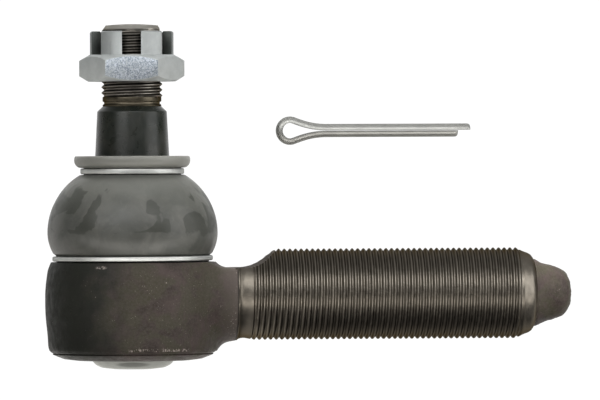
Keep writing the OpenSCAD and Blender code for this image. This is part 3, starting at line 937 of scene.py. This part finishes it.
# Maker, material, body, the CAD node it replaces, material slot
PIECES = [
    (make_forging, forging, "socket", "housing", "forged_housing"),
    (make_rim, forging, "socket", "housing", "forged_housing"),
    (make_mouth, forging, "socket", "housing", "forged_housing"),
    (make_shank, shank_steel, "socket", "housing", "forged_housing"),
    (make_nub, nub_scale, "socket", "housing", "forged_housing"),
    (make_stud, phosphate, "stud", "ball_stud", "stud_steel"),
    (make_collar, collar_steel, "stud", "ball_stud", "stud_steel"),
    (make_stud_thread, thread_steel, "stud", "ball_stud", "stud_steel"),
    (make_nut, nut_zinc, "nut", "castle_nut", "plated_nut"),
    (make_lower_ring, ring_zinc, "socket", "boot_lower_ring", "plated_ring"),
    (make_upper_ring, ring_zinc, "boot_neck", "boot_upper_ring", "plated_ring"),
    (make_plate, plate_zinc, "socket", "closing_plate", "plate_steel"),
    (make_pin, pin_zinc, "pin", "split_pin", "plated_pin"),
]
for make, material, body, node, slot in PIECES:
    piece = make()
    dress(piece, material)
    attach(piece, body)
    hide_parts(node)

boot = make_boot()
dress(boot, rubber)
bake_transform(boot)
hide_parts("dust_boot")

INNER_FINISHES = {
    plain_finish("bearing_plastic", (0.70, 0.69, 0.62), 0.0, 0.42, 6):
        ("upper_bearing_shell", "lower_bearing_shell"),
    plain_finish("plain_steel", (0.45, 0.46, 0.47), 1.0, 0.35, 4):
        ("pressure_plate", "pressure_spring", "boot_lip_insert"),
    plain_finish("seal_rubber", (0.025, 0.025, 0.025), 0.0, 0.55, 3):
        ("plate_seal_ring",),
}
for material, names in INNER_FINISHES.items():
    for name in names:
        dress(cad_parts[name], material)


# ---------------------------------------------------------------- floor, light and camera

PART_MIDDLE = Vector((0.045, 0, 0.02))


def make_floor():
    """Pale round table top. It looks white from above, and throws a soft band of light up from the front."""
    radius, z = 3.0, (PLATE_Z - 0.02) * MM
    mesh = bpy.data.meshes.new("floor")
    turns = np.linspace(0, 2 * math.pi, 96, endpoint=False)
    mesh.from_pydata([(radius * math.cos(a), radius * math.sin(a), z) for a in turns], [], [list(range(96))])
    floor = bpy.data.objects.new("floor", mesh)
    bpy.context.scene.collection.objects.link(floor)
    f = Finish("floor_paper", Roughness=0.9, Specular_IOR_Level=0.1)
    f.shader.inputs["Base Color"].default_value = (0.07, 0.07, 0.07, 1)
    across = f.add("ShaderNodeSeparateXYZ", {"Vector": f.place}).outputs["Y"]
    band = f.math("MULTIPLY", f.remap(across, -0.095, -0.080), f.remap(across, -0.036, -0.044, 0, 3.0))
    distance = f.vector_math("LENGTH", f.place).outputs["Value"]
    under = f.remap(distance, 0.040, 0.030, 0, 1.0)
    behind = f.remap(across, -0.008, 0.006, 0, 0.75)
    glow = f.math("ADD", f.math("MAXIMUM", band, under), behind)
    bounce = f.add("ShaderNodeEmission", {"Color": (1.0, 0.97, 0.93, 1), "Strength": glow})
    lit = f.add("ShaderNodeAddShader", {0: f.shader.outputs[0], 1: bounce.outputs[0]})
    white = f.add("ShaderNodeEmission", {"Color": (1, 1, 1, 1), "Strength": 1.15})
    seen = f.add("ShaderNodeMixShader", {0: 0.90, 1: f.shader.outputs[0], 2: white.outputs[0]})
    path = f.add("ShaderNodeLightPath")
    blend = f.add("ShaderNodeMixShader", {0: path.outputs["Is Camera Ray"],
                                          1: lit.outputs[0], 2: seen.outputs[0]})
    f.tree.links.new(blend.outputs[0], f.tree.nodes["Material Output"].inputs["Surface"])
    mesh.materials.append(f.material)


def add_softbox(name, place, width, height, power):
    """Soft rectangular light, aimed at the middle of the part; place in metres."""
    data = bpy.data.lights.new(name, "AREA")
    data.shape = "RECTANGLE"
    data.size, data.size_y = width, height
    data.energy = power
    lamp = bpy.data.objects.new(name, data)
    bpy.context.scene.collection.objects.link(lamp)
    lamp.location = place
    lamp.rotation_mode = "QUATERNION"
    lamp.rotation_quaternion = (PART_MIDDLE - Vector(place)).to_track_quat("-Z", "Y")
    return lamp


def make_world():
    """White to the camera. For the light it gives, dim grey, paler behind the part and above it."""
    world = bpy.data.worlds.new("studio")
    world.use_nodes = True
    tree = world.node_tree

    def node(kind, **inputs):
        made = tree.nodes.new(kind)
        for key, value in inputs.items():
            if isinstance(value, bpy.types.NodeSocket):
                tree.links.new(value, made.inputs[key.replace("_", " ")])
            else:
                made.inputs[key.replace("_", " ")].default_value = value
        return made

    heading = node("ShaderNodeSeparateXYZ", Vector=tree.nodes.new("ShaderNodeTexCoord").outputs["Generated"])
    behind = node("ShaderNodeMapRange", Value=heading.outputs["Y"],
                  From_Min=0.35, From_Max=0.80, To_Min=0.12, To_Max=0.85)
    above = node("ShaderNodeMapRange", Value=heading.outputs["Z"],
                 From_Min=0.35, From_Max=0.60, To_Min=0.0, To_Max=0.40)
    strength = tree.nodes.new("ShaderNodeMath")
    strength.operation = "MAXIMUM"
    tree.links.new(behind.outputs["Result"], strength.inputs[0])
    tree.links.new(above.outputs["Result"], strength.inputs[1])
    lit = node("ShaderNodeBackground", Color=(1, 1, 1, 1), Strength=strength.outputs[0])
    seen = tree.nodes["Background"]
    seen.inputs["Color"].default_value = (1, 1, 1, 1)
    seen.inputs["Strength"].default_value = 1.05
    path = tree.nodes.new("ShaderNodeLightPath")
    blend = tree.nodes.new("ShaderNodeMixShader")
    tree.links.new(path.outputs["Is Camera Ray"], blend.inputs[0])
    tree.links.new(lit.outputs[0], blend.inputs[1])
    tree.links.new(seen.outputs[0], blend.inputs[2])
    tree.links.new(blend.outputs[0], tree.nodes["World Output"].inputs["Surface"])
    bpy.context.scene.world = world


def make_camera():
    """Nearly level camera, a little to the left of square on, at the height of the boot."""
    distance, view_width = 2.0, 0.1583
    yaw, rise, roll = math.radians(6.0), math.radians(-0.29), math.radians(0.25)
    target = Vector((44.36, 0, 24.8)) * MM
    ahead = Vector((math.sin(yaw) * math.cos(rise), math.cos(yaw) * math.cos(rise), math.sin(rise)))
    data = bpy.data.cameras.new("camera")
    data.sensor_width = 36
    data.lens = data.sensor_width * distance / view_width
    camera = bpy.data.objects.new("camera", data)
    bpy.context.scene.collection.objects.link(camera)
    camera.location = target - ahead * distance
    camera.rotation_mode = "QUATERNION"
    camera.rotation_quaternion = ahead.to_track_quat("-Z", "Y") @ Euler((0, 0, -roll)).to_quaternion()
    bpy.context.scene.camera = camera


make_floor()
make_world()
add_softbox("front", (0.10, -0.62, 0.42), 0.60, 0.32, 2.25)
add_softbox("right", (0.70, -0.34, 0.20), 0.60, 0.60, 2.8)
left = add_softbox("left", (-0.38, -0.50, 0.34), 0.45, 0.36, 1.9)
left.visible_diffuse = False
overhead = add_softbox("top", (0.05, 0.05, 0.65), 0.60, 0.40, 8)
overhead.visible_glossy = False
make_camera()
bpy.context.scene.view_settings.view_transform = "Standard"
